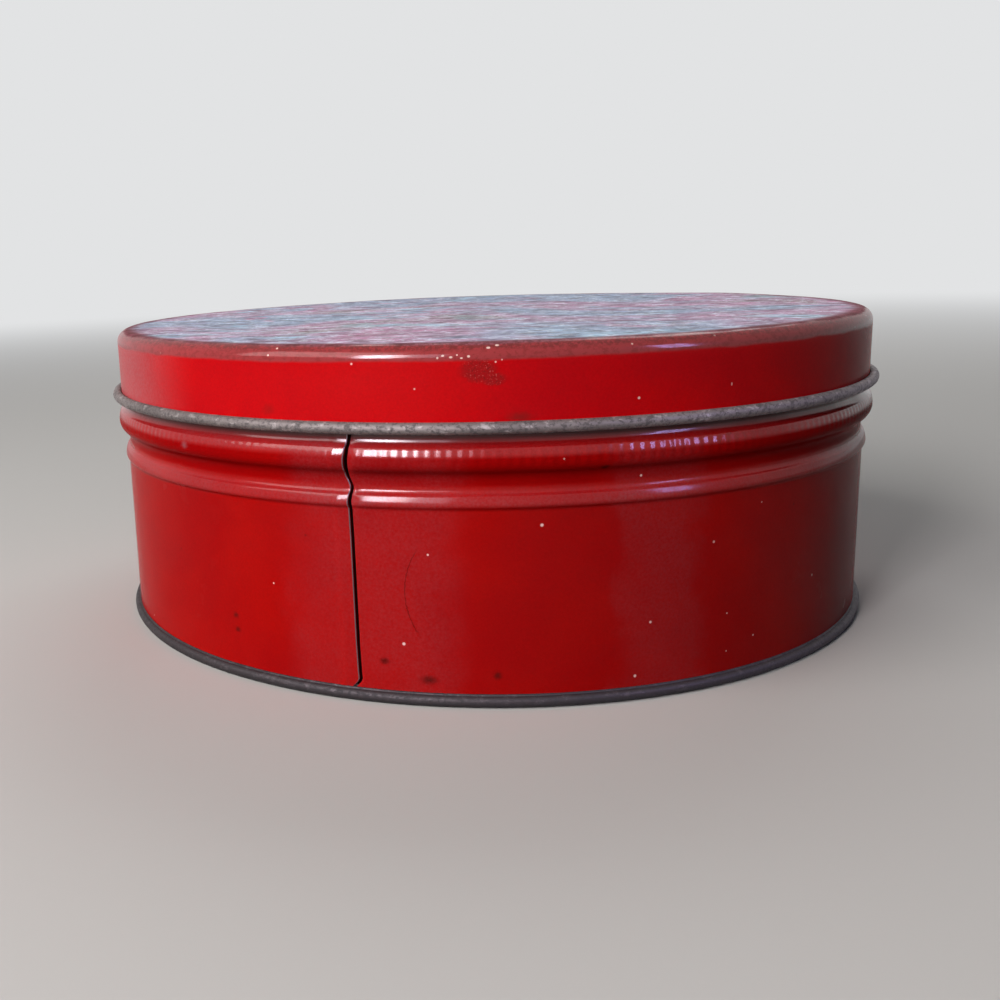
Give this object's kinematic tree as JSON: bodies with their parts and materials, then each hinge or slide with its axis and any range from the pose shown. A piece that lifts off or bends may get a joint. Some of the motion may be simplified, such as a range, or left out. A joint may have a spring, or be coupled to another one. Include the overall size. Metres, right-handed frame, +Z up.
{
  "type": "round slip-lid tin",
  "caption": "Low round tin of red painted sheet metal, shut with a slip-on lid whose hem is rolled, with two beads round its wall, a side seam and a folded steel base rim.",
  "frame": {"origin": "centre of the circle the tin stands on, at the level of the base rim's underside", "axes": "+Z up along the tin's axis; -Y towards the front, with the side seam 15.9 degrees to its left"},
  "size_m": [0.203, 0.203, 0.0755],
  "materials": {
    "base_metal": "dull, tarnished",
    "body_paint": "worn gloss",
    "lid_paint": "worn gloss, faded on top"
  },
  "bodies": {
    "root": {"base_end": "base_metal", "body": "body_paint", "lid": "lid_paint"}
  },
  "joints": []
}
